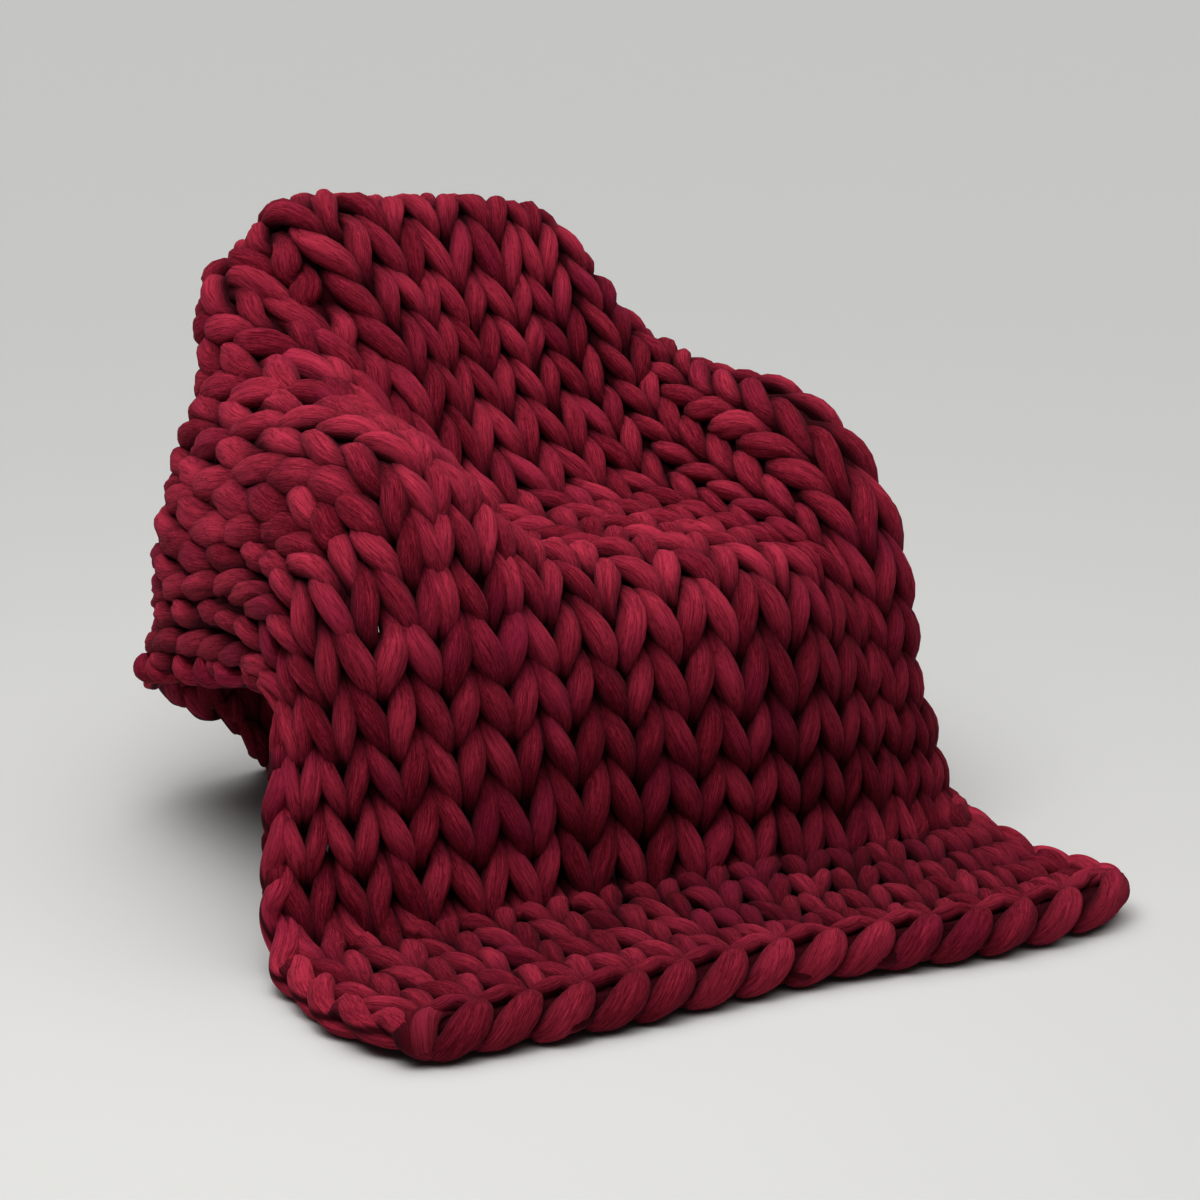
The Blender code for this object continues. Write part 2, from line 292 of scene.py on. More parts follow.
def curveThrough(stations, values, slopes, wanted):
    # cubic pieces: each end's value and slope weighed by the four Hermite polynomials
    column = (-1,) + (1,) * (values.ndim - 1)
    gap = np.diff(stations)
    span = np.clip(np.searchsorted(stations, wanted, side="right") - 1, 0, len(gap) - 1)
    width = gap[span].reshape(column)
    part = (wanted - stations[span]).reshape(column) / width
    startWeight = 2 * part**3 - 3 * part**2 + 1
    startPull = (part**3 - 2 * part**2 + part) * width
    endPull = (part**3 - part**2) * width
    ends = startWeight * values[span] + (1 - startWeight) * values[span + 1]
    return ends + startPull * slopes[span] + endPull * slopes[span + 1]


def flatKeepingCurve(stations, values, wanted):
    # inner slopes are the weighted harmonic mean of the slopes on both sides, or 0 at a turning point
    column = (-1,) + (1,) * (values.ndim - 1)
    gap = np.diff(stations)
    rise = np.diff(values, axis=0) / gap.reshape(column)
    before, after = rise[:-1], rise[1:]
    weightBefore = (2 * gap[1:] + gap[:-1]).reshape(column)
    weightAfter = (gap[1:] + 2 * gap[:-1]).reshape(column)
    climbsOn = before * after > 0
    safeBefore = np.where(climbsOn, before, 1.0)
    safeAfter = np.where(climbsOn, after, 1.0)
    mean = (weightBefore + weightAfter) / (weightBefore / safeBefore + weightAfter / safeAfter)
    slopes = np.concatenate([rise[:1], np.where(climbsOn, mean, 0.0), rise[-1:]])
    return curveThrough(stations, values, slopes, wanted)


def roundCurve(stations, values, wanted):
    # inner slopes are the mean of the slopes on both sides, the nearer one weighing more
    column = (-1,) + (1,) * (values.ndim - 1)
    gap = np.diff(stations)
    rise = np.diff(values, axis=0) / gap.reshape(column)
    before, after = gap[:-1].reshape(column), gap[1:].reshape(column)
    mean = (after * rise[:-1] + before * rise[1:]) / (before + after)
    slopes = np.concatenate([rise[:1], mean, rise[-1:]])
    return curveThrough(stations, values, slopes, wanted)


def clothNet(settings):
    # place(wale, course): a curve along each guide wale, then a curve from guide to guide; the outward
    # direction is the cross product of the steps across and along; the stitch's size is the length of that
    # cross product over the length of the step along, and the length of the step along
    wales = np.linspace(0, settings["wales"], settings["wales"] * settings["linesPerWale"] + 1)
    first, last = settings["firstCourse"], settings["lastCourse"]
    courses = np.linspace(first, last, int((last - first) * settings["linesPerCourse"]) + 1)
    lines = []
    for wale, table in guideWales:
        rows = np.array(table)
        lines.append(flatKeepingCurve(rows[:, 0], rows[:, 1:] * cm, courses))
    guides = np.array([wale for wale, table in guideWales])
    places = np.swapaxes(roundCurve(guides, np.array(lines), wales), 0, 1)
    places = places + np.array(settings["tablesToFrame"])
    along, across = np.gradient(places, courses, wales, axis=(0, 1))
    outward = np.cross(across, along)
    heights = np.linalg.norm(along, axis=-1)
    sizes = np.stack([np.linalg.norm(outward, axis=-1) / heights, heights], axis=-1)
    return {"places": places, "across": across, "along": along, "out": unit(outward), "sizes": sizes}


def fromNet(values, wale, course, runsOn=False):
    # the four net values round each point, weighed by nearness; runsOn keeps the slope past the edges
    across = wale * clothSettings["linesPerWale"]
    along = (course - clothSettings["firstCourse"]) * clothSettings["linesPerCourse"]
    column = np.clip(np.floor(across).astype(int), 0, values.shape[1] - 2)
    row = np.clip(np.floor(along).astype(int), 0, values.shape[0] - 2)
    right, up = (across - column)[..., None], (along - row)[..., None]
    if not runsOn:
        right, up = np.clip(right, 0, 1), np.clip(up, 0, 1)
    low = values[row, column] * (1 - right) + values[row, column + 1] * right
    high = values[row + 1, column] * (1 - right) + values[row + 1, column + 1] * right
    return low * (1 - up) + high * up


def wander(stations, seed, spacing=1.0):
    # a smooth uneven curve between -1 and 1: random values one spacing apart, joined by half cosine waves;
    # a seed gives the same curve each time
    steps = stations / spacing
    first = np.floor(steps).astype(int)
    values = np.random.default_rng(seed).uniform(-1, 1, int(first.max()) + 3)
    blend = (1 - np.cos(math.pi * (steps - first))) / 2
    return values[first] * (1 - blend) + values[first + 1] * blend


cloth = clothNet(clothSettings)
print("cloth net", cloth["places"].shape)

# Places where the stitches differ. Columns: wale, course, wales and courses to where the difference fades,
# m outwards, calm (1 smooths the stitches into ropes), shares more uneven, of painted shade and thicker.
placesApart = [
    (13.4, 12.0, 1.5, 3.4, 0.014, 0.0, 0.0, 0.0, 0.0),  # the right arm's front
    (14.8, 5.3, 1.7, 1.9, 0.013, 0.0, 0.0, 0.0, 0.0),  # foot of the apron's right edge
    (12.2, 18.2, 1.4, 2.4, 0.014, 0.0, 0.0, 0.0, 0.0),  # right shoulder of the backrest
    (5.4, 21.0, 1.2, 1.3, 0.008, 0.0, 0.0, 0.0, 0.0),  # its left shoulder
    (3.9, 18.2, 1.4, 1.8, 0.007, 0.0, 0.0, 0.0, 0.0),  # rear left corner, high up
    (1.0, 15.2, 1.7, 2.6, 0.015, 0.0, 0.0, 0.0, 0.0),  # and low down
    (1.3, 13.5, 2.2, 4.3, 0.0, 1.0, -0.8, 0.10, 0.07),  # the left side, stretched backwards, with some painted shade
    (8.0, 1.4, 9.0, 2.7, 0.0, 0.35, 0.9, 0.27, 0.0),  # the part on the floor, with painted shade
    (12.6, 6.2, 3.4, 3.2, 0.0, 0.0, 0.0, 0.30, 0.0),  # the apron's right half, with painted shade
    (7.5, 5.4, 3.4, 2.4, 0.0, 0.0, 0.0, 0.16, 0.0),  # its middle, with less painted shade
    (3.9, 18.3, 2.7, 4.0, 0.0, 0.0, 0.0, 0.0, 0.17),  # the back's left half
    (3.5, 9.9, 1.6, 2.5, 0.0, 0.0, 0.0, 0.0, 0.22),  # front of the left arm, where stitches are gained
    (14.7, 9.3, 1.8, 2.5, 0.0, 0.0, 0.0, 0.0, 0.25),  # and of the right one
    (3.0, 14.6, 1.9, 3.6, 0.0, 0.0, 0.0, 0.0, 0.20),  # top of the left arm
    (13.9, 13.0, 1.7, 3.6, 0.0, 0.0, 0.0, 0.0, 0.20),  # and of the right one
]


def apart(wale, course):
    # the sum over all places of their amounts, each weighed by e to the minus (wales off / fade)^4 and
    # to the minus (courses off / fade)^4
    amounts = np.zeros(wale.shape + (5,))
    for atWale, atCourse, wales, courses, *amount in placesApart:
        weight = np.exp(-(((wale - atWale) / wales) ** 4) - ((course - atCourse) / courses) ** 4)
        amounts += weight[..., None] * np.array(amount)
    return amounts


strandSettings = {
    "sides": 24,
    "creases": (0.5, 1.3, 2.0, 2.7, 4.0, 5.3),  # radians round the strand, 90 degrees being outwards
    "creaseDepth": 0.17,  # share of the strand's thickness
    "creaseWidth": 0.24,  # radians
    "creaseDrift": 0.5,  # radians that a crease wanders to either side
    "creaseDriftEvery": 0.11,  # m along the strand from one random place to the next, and the same for depth
    "creaseFadeEvery": 0.045,
    # each row of lobes: how many round the strand, share of its thickness, turns per m
    "lobes": ((2, 0.030, 0.9), (3, 0.040, 1.7), (5, 0.030, -2.3), (7, 0.014, 3.1)),
    "lobeSway": 0.8,  # radians, and the radians of the sway's wave per m
    "lobeSwayRate": 23.0,
    "taperRings": 5,
    "lastRing": 0.15,  # rings, how far from the strand's point its last ring counts as being
    "seedStep": 3.1,  # m along the strand that one seed is off from the next
    # share by which the width wanders and m from one random value to the next, both for the depth, m for
    # the shade; first of a strand in the cloth, then of one on the rolled edge
    "unevenCloth": (0.05, 0.09, 0.05, 0.07, 0.11),
    "unevenRoll": (0.06, 0.10, 0.05, 0.08, 0.12),
    "floorGap": 0.0006,  # m, least height of the wool over the floor
    "outside": 0.030,  # m from the cloth's middle to the outside of the stitches
    "outsideRoll": 0.036,  # m from the middle of the rolled edge to its outside
}


def strandRings(strand, settings):
    # an ellipse across the path at every point, wide along path x outward and deep outward, times 1 + lobes
    # - creases: the lobes are cosines that turn slowly round the strand, the creases bell curves,
    # e to the -(off / width)^2, that wander round it; both ends shrink as a quarter circle does
    path, out, alongStrand = strand["path"], strand["out"], strand["along"]
    angle = turn * np.arange(settings["sides"]) / settings["sides"]
    forward = unit(np.gradient(path, axis=0))
    side = unit(np.cross(forward, out))
    up = np.cross(side, forward)
    lobes = np.ones((len(path), settings["sides"]))
    for count, depth, twist in settings["lobes"]:
        sway = settings["lobeSway"] * np.sin(settings["lobeSwayRate"] * alongStrand + count)
        phase = turn * twist * alongStrand + sway
        lobes += depth * np.cos(count * angle[None, :] + phase[:, None])
    for number, place in enumerate(settings["creases"]):
        drift = wander(alongStrand, 300 + number, settings["creaseDriftEvery"])
        fade = wander(alongStrand, 320 + number, settings["creaseFadeEvery"])
        centre = place + settings["creaseDrift"] * drift
        depth = settings["creaseDepth"] * (0.5 + 0.5 * fade)
        off = (angle[None, :] - centre[:, None] + math.pi) % turn - math.pi
        lobes -= depth[:, None] * np.exp(-((off / settings["creaseWidth"]) ** 2))
    ringsToEnd = np.minimum(np.arange(len(path)), np.arange(len(path))[::-1])
    nearEnd = np.clip((ringsToEnd + settings["lastRing"]) / settings["taperRings"], 0, 1)
    taper = np.sqrt(1 - (1 - nearEnd) ** 2)
    wide = (strand["wide"] * taper)[:, None] * lobes * np.cos(angle)
    deep = (strand["deep"] * taper)[:, None] * lobes * np.sin(angle)
    rings = path[:, None] + side[:, None] * wide[..., None] + up[:, None] * deep[..., None]
    fibre = np.stack([wide, deep, np.broadcast_to(alongStrand[:, None], wide.shape)], axis=-1)
    lift = np.sum((rings - path[:, None]) * out[:, None], axis=-1)
    return rings, fibre, lift


def strandFaces(rings, sides):
    # quads from ring to ring, and a fan at each end from the last ring to the point in its middle
    first = np.arange(rings * sides).reshape(rings, sides)
    after = np.roll(first, -1, axis=1)
    walls = np.stack([first[:-1], first[1:], after[1:], after[:-1]], axis=-1).reshape(-1, 4)
    startPoint, endPoint = rings * sides, rings * sides + 1
    startFan = np.stack([np.full(sides, startPoint), first[0], after[0]], axis=-1)
    endFan = np.stack([np.full(sides, endPoint), after[-1], first[-1]], axis=-1)
    return walls, np.concatenate([startFan, endFan])


def woolPiece(name, strands, material):
    # the strands' rings and end points as one mesh, with each point's place in its strand as "fibre"
    # (metres wide, deep and along), an uneven tone, "shade", that changes slowly along the strand, and a mask
    # for painted shade, from 0 in the cloth's middle to 1 on the outside of the stitches, less where more
    # shade is painted
    points, quads, fans, base = [], [], [], 0
    layers = {"fibre": [], "shade": [], "reliefShadeMask": []}
    sides, ends = strandSettings["sides"], [0, -1]
    for strand in strands:
        rings, fibre, lift = strandRings(strand, strandSettings)
        walls, fan = strandFaces(len(rings), sides)
        # painted shade mask: how far the wool lies out of the cloth's middle, less by the share of painted
        # shade
        reliefShadeMask = np.abs(lift + strand["lift"][:, None]) / strand["outside"] * (1 - strand["dark"][:, None])
        endFibre = strand["along"][ends, None] * np.array([0, 0, 1])
        endRelief = np.abs(strand["lift"][ends]) / strand["outside"]
        points += [rings.reshape(-1, 3), strand["path"][ends]]
        layers["fibre"] += [fibre.reshape(-1, 3), endFibre]
        layers["shade"] += [np.repeat(strand["shade"], sides), strand["shade"][ends]]
        layers["reliefShadeMask"] += [np.clip(reliefShadeMask.ravel(), 0, 1), np.clip(endRelief, 0, 1)]
        quads.append(walls + base)
        fans.append(fan + base)
        base += len(rings) * sides + len(ends)
    points = np.concatenate(points)
    points[:, 2] = np.maximum(points[:, 2], strandSettings["floorGap"])
    quads, fans = np.concatenate(quads), np.concatenate(fans)
    mesh = bpy.data.meshes.new(name)
    mesh.vertices.add(len(points))
    mesh.vertices.foreach_set("co", points.ravel().astype(np.float32))
    mesh.loops.add(quads.size + fans.size)
    mesh.loops.foreach_set("vertex_index", np.concatenate([quads.ravel(), fans.ravel()]).astype(np.int32))
    mesh.polygons.add(len(quads) + len(fans))
    starts = np.concatenate([np.arange(len(quads)) * 4, quads.size + np.arange(len(fans)) * 3])
    mesh.polygons.foreach_set("loop_start", starts.astype(np.int32))
    mesh.update(calc_edges=True)
    mesh.polygons.foreach_set("use_smooth", np.ones(len(mesh.polygons), dtype=bool))
    for layer, parts in layers.items():
        values = np.concatenate(parts).astype(np.float32)
        kind, field = ("FLOAT_VECTOR", "vector") if values.ndim == 2 else ("FLOAT", "value")
        mesh.attributes.new(layer, kind, "POINT").data.foreach_set(field, values.ravel())
    mesh.validate()
    mesh.materials.append(material)
    piece = bpy.data.objects.new(name, mesh)
    bpy.context.scene.collection.objects.link(piece)
    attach(piece, "root")
    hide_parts("blanket")
    print(name, len(quads) * 2 + len(fans), "triangles")


woolSettings = {
    "shadow": (0.080, 0.0016, 0.0066, 1.0),  # the darkest and lightest dye, and a bluer one in some stitches
    "light": (0.385, 0.0240, 0.053, 1.0),
    "plum": (0.165, 0.006, 0.036, 1.0),
    "inside": (0.022, 0.0008, 0.0025, 1.0),  # painted shade: the colour given to the wool deep between the stitches, which little light reaches
    "insideRange": (0.25, 0.88),  # mask value up to which the painted shade is full, and from which there is none
    "surface": {
        "Roughness": 0.9,
        "Sheen Weight": 0.05,
        "Sheen Roughness": 0.5,
        "Sheen Tint": (0.9, 0.22, 0.32, 1.0),
        "Specular IOR Level": 0.04,
    },
    "bundles": (150.0, 0.07, 2.0),  # each noise: scale across the strand, share of it lengthwise, detail
    "strands": (640.0, 0.05, 3.0),
    "fuzz": (1500.0, 0.12, 2.0),
    "streakRoughness": 0.6,
    "grooveHalf": 0.035,  # a groove runs where the noise of the bundles is this close to its middle, 0.5
    "grooveShadeRange": (-0.5, 1.0),  # painted shade in the grooves: at its bottom the tone is a third of what it is beside it
    "toneShares": (0.7, 0.55, 0.16),  # of the strands, the fuzz and the strand's shade
    "toneRange": (0.42, 0.86),  # their sum for the darkest and for the lightest dye
    "plumNoise": (9.0, 2.0),  # scale and detail of the noise over the whole blanket
    "plumRange": (0.52, 0.72),  # noise at which the bluer dye starts, and at which it has its full share
    "plumMost": 0.4,
    "heightShares": (0.45, 0.30, 0.35),  # of the strands, the fuzz and the grooves in the bump
    "bumpStrength": 0.75,
    "bumpDistance": 0.0020,  # m
}


def woolMaterial(settings):
    # combed wool: noise stretched 8 to 20 times along the strand gives streaks of colour, grooves between the
    # bundles of fibres with painted shade in them and a fine fuzz, and slow noise over the blanket makes some
    # stitches bluer; colour = (shadow .. light by tone x painted groove shade, plum by its share) .. painted
    # shade colour by the mask, which paints shade deep between the stitches and where places are listed
    # darker
    material = bpy.data.materials.new("burgundyWool")
    material.use_nodes = True
    tree = material.node_tree
    nodes, links = tree.nodes, tree.links
    surface = nodes["Principled BSDF"]
    for name, value in settings["surface"].items():
        surface.inputs[name].default_value = value

    def layer(name):
        node = nodes.new("ShaderNodeAttribute")
        node.attribute_name = name
        return node

    def streaks(scale, stretch, detail):
        mapping = nodes.new("ShaderNodeMapping")
        mapping.inputs["Scale"].default_value = (1.0, 1.0, stretch)
        noise = nodes.new("ShaderNodeTexNoise")
        noise.inputs["Scale"].default_value = scale
        noise.inputs["Detail"].default_value = detail
        noise.inputs["Roughness"].default_value = settings["streakRoughness"]
        links.new(fibre.outputs["Vector"], mapping.inputs["Vector"])
        links.new(mapping.outputs["Vector"], noise.inputs["Vector"])
        return noise.outputs["Fac"]

    def fill(sockets, values):
        for socket, value in zip(sockets, values):
            if isinstance(value, (int, float, tuple)):
                socket.default_value = value
            else:
                links.new(value, socket)

    def number(operation, first, second):
        node = nodes.new("ShaderNodeMath")
        node.operation = operation
        fill(node.inputs, (first, second))
        return node.outputs["Value"]

    def weighedSum(values, shares):
        total, *others = [number("MULTIPLY", value, share) for value, share in zip(values, shares)]
        for other in others:
            total = number("ADD", total, other)
        return total

    def steps(value, low, high):
        # 0 up to low, 1 from high, even between
        node = nodes.new("ShaderNodeMapRange")
        fill((node.inputs["Value"], node.inputs["From Min"], node.inputs["From Max"]), (value, low, high))
        return node.outputs["Result"]

    def mixed(share, first, second):
        # a mix node's colour sockets share their names with its other ones, so they go by number
        node = nodes.new("ShaderNodeMix")
        node.data_type = "RGBA"
        fill((node.inputs["Factor"], node.inputs[6], node.inputs[7]), (share, first, second))
        return node.outputs[2]

    fibre, shade, reliefShadeMask = layer("fibre"), layer("shade"), layer("reliefShadeMask")
    bundles = streaks(*settings["bundles"])
    strands = streaks(*settings["strands"])
    fuzz = streaks(*settings["fuzz"])
    offMiddle = number("ABSOLUTE", number("SUBTRACT", bundles, 0.5), 0.0)
    grooves = steps(offMiddle, 0.0, settings["grooveHalf"])
    place = nodes.new("ShaderNodeTexCoord")
    plumNoise = nodes.new("ShaderNodeTexNoise")
    fill((plumNoise.inputs["Scale"], plumNoise.inputs["Detail"]), settings["plumNoise"])
    links.new(place.outputs["Object"], plumNoise.inputs["Vector"])

    tone = weighedSum((strands, fuzz, shade.outputs["Fac"]), settings["toneShares"])
    tone = steps(tone, *settings["toneRange"])
    # painted shade: the tone is darker along the grooves between the bundles
    grooveShadedTone = number("MULTIPLY", tone, steps(grooves, *settings["grooveShadeRange"]))
    dyed = mixed(grooveShadedTone, settings["shadow"], settings["light"])
    plumShare = steps(plumNoise.outputs["Fac"], *settings["plumRange"])
    plumShare = number("MULTIPLY", plumShare, settings["plumMost"])
    lit = mixed(plumShare, dyed, settings["plum"])
    # painted shade: the wool takes the shade colour where the mask is low, deep between the stitches and in
    # the places listed as darker
    outside = steps(reliefShadeMask.outputs["Fac"], *settings["insideRange"])
    links.new(mixed(outside, settings["inside"], lit), surface.inputs["Base Color"])

    bump = nodes.new("ShaderNodeBump")
    bump.inputs["Strength"].default_value = settings["bumpStrength"]
    bump.inputs["Distance"].default_value = settings["bumpDistance"]
    links.new(weighedSum((strands, fuzz, grooves), settings["heightShares"]), bump.inputs["Height"])
    links.new(bump.outputs["Normal"], surface.inputs["Normal"])
    return material


stitchSettings = {
    "rows": 25,
    # wales between the stitches of the left and the right side; where one is listed twice, a stitch is gained
    "sideWales": ((0, 1, 2, 3, 4, 4, 5, 5, 6), (13, 14, 14, 15, 15, 16)),
    "evenFrom": (8.4, 6.0),  # courses between which the side stitches go over to even widths, left and right
    "evenTo": (12.4, 9.0),
    "newFrom": 0.18,  # share of an even width from which a new stitch is knitted
    "firstRow": 0.5,  # courses of the first and the last row's middle
    "lastRow": 24.1,
    "edgeRoom": 0.22,  # stitches left at each side for the turns of the strand
    "swing": 0.265,  # stitches that a leg leans to each side
    "reach": 0.95,  # courses from a row's middle to its heads and feet
    "depth": 0.0150,  # m, legs in front of the cloth's middle and heads and feet behind it
    "unevenEvery": 0.5,  # stitches from one random value to the next
    "unevenSwing": 0.035,  # how far the swing and the place across wander, in stitches, the reach and the
    "unevenAcross": 0.045,  # place along, in courses, and the depth, in m
    "unevenReach": 0.05,
    "unevenAlong": 0.07,
    "unevenDepth": 0.0022,
    "calmSwing": 0.34,  # shares by which a calm place takes from the swing and the depth, adds to the reach,
    "calmDepth": 0.25,  # evens out the strand's size and makes it slimmer
    "calmReach": 0.12,
    "calmSize": 0.40,
    "calmSlim": 0.12,
    "legHalf": (0.0190, 0.0165),  # half width and half depth of a leg, of the neck where it turns
    "neckHalf": (0.0130, 0.0118),  # backwards, and of the heads and feet behind
    "tieHalf": (0.0230, 0.0126),
    "pointsPerStitch": 30,
    "pointsPerTurn": 12,
    "turnBulge": 0.08,  # stitches that the strand swings out where it turns to the next row
    "turnDepth": 0.9,  # share of the depth, and how far it grows there from a tie's size to a leg's
    "turnLeg": 0.25,
}


def stitchLines(settings):
    # the cloth's wale at every whole stitch of every row: one stitch for each wale near the hem; further on
    # the side stitches go over to even widths, and new ones start, narrow, where a wale is listed twice
    middles = np.linspace(settings["firstRow"], settings["lastRow"], settings["rows"])
    wales = np.linspace(0, clothSettings["wales"], clothSettings["arcPoints"])
    lines = []
    for middle in middles:
        arc = arcAcross(wales, middle)
        parts = []
        for sideWales, first, last in zip(settings["sideWales"], settings["evenFrom"], settings["evenTo"]):
            even = np.clip((middle - first) / (last - first), 0, 1)
            plain = np.array(sideWales)
            low, high = np.interp(plain[[0, -1]], wales, arc)
            evenly = np.interp(np.linspace(low, high, len(plain)), arc, wales)
            grown = np.concatenate([[True], np.diff(plain) > 0]) | (even > settings["newFrom"])
            parts.append(((1 - even) * plain + even * evenly)[grown])
        left, right = parts
        lines.append(np.concatenate([left, np.arange(round(left[-1]) + 1, round(right[0])), right]))
    return middles, lines


def arcAcross(wales, course):
    # width of the cloth from its first wale here to each of them, measured square to the columns of
    # stitches: mean of the widths at both ends of each step, times the step, added up
    widths = fromNet(cloth["sizes"], wales, np.full(wales.shape, np.mean(course)))[:, 0]
    return np.concatenate([[0], np.cumsum((widths[1:] + widths[:-1]) / 2 * np.diff(wales))])


def rowOfLoops(row, middle, line, settings):
    # stitch = t + swing sin 4 pi t, whose wale the row's line gives, course = middle - reach cos 2 pi t and
    # outward = -depth cos 4 pi t, with t counting stitches and all a little uneven; each row runs the other
    # way from the last and ends in a half turn up to the next
    count = len(line) - 1
    t = np.linspace(0, count, count * settings["pointsPerStitch"] + 1)
    stitches = np.arange(count + 1)
    amounts = apart(np.interp(count - t if row % 2 else t, stitches, line), middle)
    # the fourth amount is the share of painted shade at each place
    push, calm, stir, dark, thick = amounts.T
    uneven = [wander(t, 100 + 7 * row + k, settings["unevenEvery"]) for k in range(4)]
    uneven = np.stack(uneven) * (1 + stir)
    swing = settings["swing"] * (1 - settings["calmSwing"] * calm)
    reach = settings["reach"] * (1 + settings["calmReach"] * calm)
    stitch = t + (swing + settings["unevenSwing"] * uneven[0]) * np.sin(2 * turn * t)
    stitch = stitch + settings["unevenAcross"] * uneven[1]
    course = -(reach + settings["unevenReach"] * uneven[2]) * np.cos(turn * t)
    course = course + settings["unevenAlong"] * uneven[3]
    out = -settings["depth"] * np.cos(2 * turn * t) + settings["unevenDepth"] * uneven[1]
    s = np.linspace(0, 1, settings["pointsPerTurn"] + 2)[1:-1]
    stitch = np.concatenate([stitch, count + settings["turnBulge"] * np.sin(math.pi * s)])
    if row % 2:
        stitch = count - stitch
    stitch = settings["edgeRoom"] + stitch * (1 - 2 * settings["edgeRoom"] / count)
    values = {
        "wale": np.interp(stitch, stitches, line),
        "pitch": np.interp(stitch, stitches[:-1] + 0.5, smoothed(np.diff(line), 3)),
        "course": np.concatenate([course, -settings["reach"] + s]),
        "out": np.concatenate([out, -settings["depth"] * np.cos(turn * s) * settings["turnDepth"]]),
        "leg": np.concatenate([np.sin(turn * t) ** 2, settings["turnLeg"] * np.sin(math.pi * s)]),
    }
    for name, amount in (("push", push), ("calm", calm), ("dark", dark), ("thick", thick)):
        values[name] = np.concatenate([amount, np.full(len(s), amount[-1])])
    return values


def smoothed(values, times=2):
    # each inner value becomes a quarter of both neighbours and half of itself, this many times
    for _ in range(times):
        values = np.concatenate([values[:1], (values[:-2] + 2 * values[1:-1] + values[2:]) / 4, values[-1:]])
    return values


def unevenStrand(path, out, wide, deep, seed, uneven):
    # the strand's length so far at every point, and its width, depth and shade, which wander slowly
    wideShare, wideEvery, deepShare, deepEvery, shadeEvery = uneven
    steps = np.linalg.norm(np.diff(path, axis=0), axis=-1)
    along = np.concatenate([[0], np.cumsum(steps)]) + strandSettings["seedStep"] * seed
    return {
        "path": path,
        "out": out,
        "wide": wide * (1 + wideShare * wander(along, seed, wideEvery)),
        "deep": deep * (1 + deepShare * wander(along, seed + 1, deepEvery)),
        "along": along,
        "shade": wander(along, seed + 2, shadeEvery),
    }


def carriedStrand(wale, course, out, wide, deep, seed, pitch=1.0):
    # a strand on the cloth: place + outward x offset; its width follows the size of the stitches there, and
    # its depth the square root of that size
    place = fromNet(cloth["places"], wale, course, runsOn=True)
    outward = unit(fromNet(cloth["out"], wale, course))
    path = place + outward * out[:, None]
    forward = unit(np.gradient(path, axis=0))
    side = unit(np.cross(forward, outward))
    sizes = fromNet(cloth["sizes"], wale, course)
    acrossShare = np.abs(np.sum(side * unit(fromNet(cloth["across"], wale, course)), axis=-1))
    alongShare = np.abs(np.sum(side * unit(fromNet(cloth["along"], wale, course)), axis=-1))
    waleScale = sizes[:, 0] * pitch / clothSettings["usualWale"]
    courseScale = sizes[:, 1] / clothSettings["usualCourse"]
    scale = (acrossShare * waleScale + alongShare * courseScale) / (acrossShare + alongShare)
    scale = smoothed(np.clip(scale, clothSettings["narrowest"], clothSettings["widest"]), 4)
    sizes = (wide * scale, deep * np.sqrt(scale))
    strand = unevenStrand(path, outward, *sizes, seed, strandSettings["unevenCloth"])
    return strand | {"lift": out, "outside": strandSettings["outside"], "dark": np.zeros(len(path))}


def knittedRows(firstRow, lastRow, middles, lines, settings):
    # one strand through these rows, its last half turn hidden inside the next piece's strand
    spacing = middles[1] - middles[0]
    rows = [rowOfLoops(row, middles[row], lines[row], settings) for row in range(firstRow, lastRow + 1)]
    for row, values in zip(range(firstRow, lastRow + 1), rows):
        values["course"] = middles[row] + spacing * values["course"]
    whole = {name: smoothed(np.concatenate([values[name] for values in rows])) for name in rows[0]}
    # leg = (1 - cos 2x) / 2, so cos 2x and cos 4x give a size that is right at leg, neck and tie
    cos2 = 1 - 2 * whole["leg"]
    cos4 = 2 * cos2**2 - 1
    sizes = []
    for atLeg, atNeck, atTie in zip(settings["legHalf"], settings["neckHalf"], settings["tieHalf"]):
        middle = (atLeg + atTie) / 4 + atNeck / 2
        size = middle + (atTie - atLeg) / 2 * cos2 + (middle - atNeck) * cos4
        size += settings["calmSize"] * whole["calm"] * (atLeg - size)
        sizes.append(size * (1 - settings["calmSlim"] * whole["calm"]) * (1 + whole["thick"]))
    offset = whole["out"] * (1 - settings["calmDepth"] * whole["calm"]) + whole["push"]
    place = (whole["wale"], whole["course"], offset)
    strand = carriedStrand(*place, *sizes, 11 + firstRow, whole["pitch"])
    # the strand carries the share of painted shade from the places listed
    return strand | {"lift": whole["out"], "dark": whole["dark"]}


# The chain edge. Columns: share of a link, links along, degrees round the roll (0 outwards from the cloth,
# 90 up), m from the roll's axis, half width and half depth in m.
chainLink = [
    (0.00, 0.02, -84, 0.0175, 0.0125, 0.0110),  # comes out low in front
    (0.11, 0.20, -58, 0.0215, 0.0180, 0.0135),
    (0.24, 0.60, -4, 0.0225, 0.0222, 0.0150),  # the fat front leg
    (0.37, 0.98, 50, 0.0220, 0.0180, 0.0135),
    (0.46, 1.15, 88, 0.0170, 0.0115, 0.0105),  # dives under the next link
    (0.54, 1.08, 108, 0.0165, 0.0115, 0.0105),
    (0.65, 0.72, 124, 0.0250, 0.0135, 0.0115),  # the thin leg along the top
    (0.76, 0.32, 112, 0.0215, 0.0120, 0.0105),
    (0.86, 0.16, 172, 0.0140, 0.0115, 0.0105),
    (0.93, 0.50, 238, 0.0195, 0.0135, 0.0115),  # back and on to the next link, low
    (1.00, 1.02, 276, 0.0175, 0.0125, 0.0110),
]

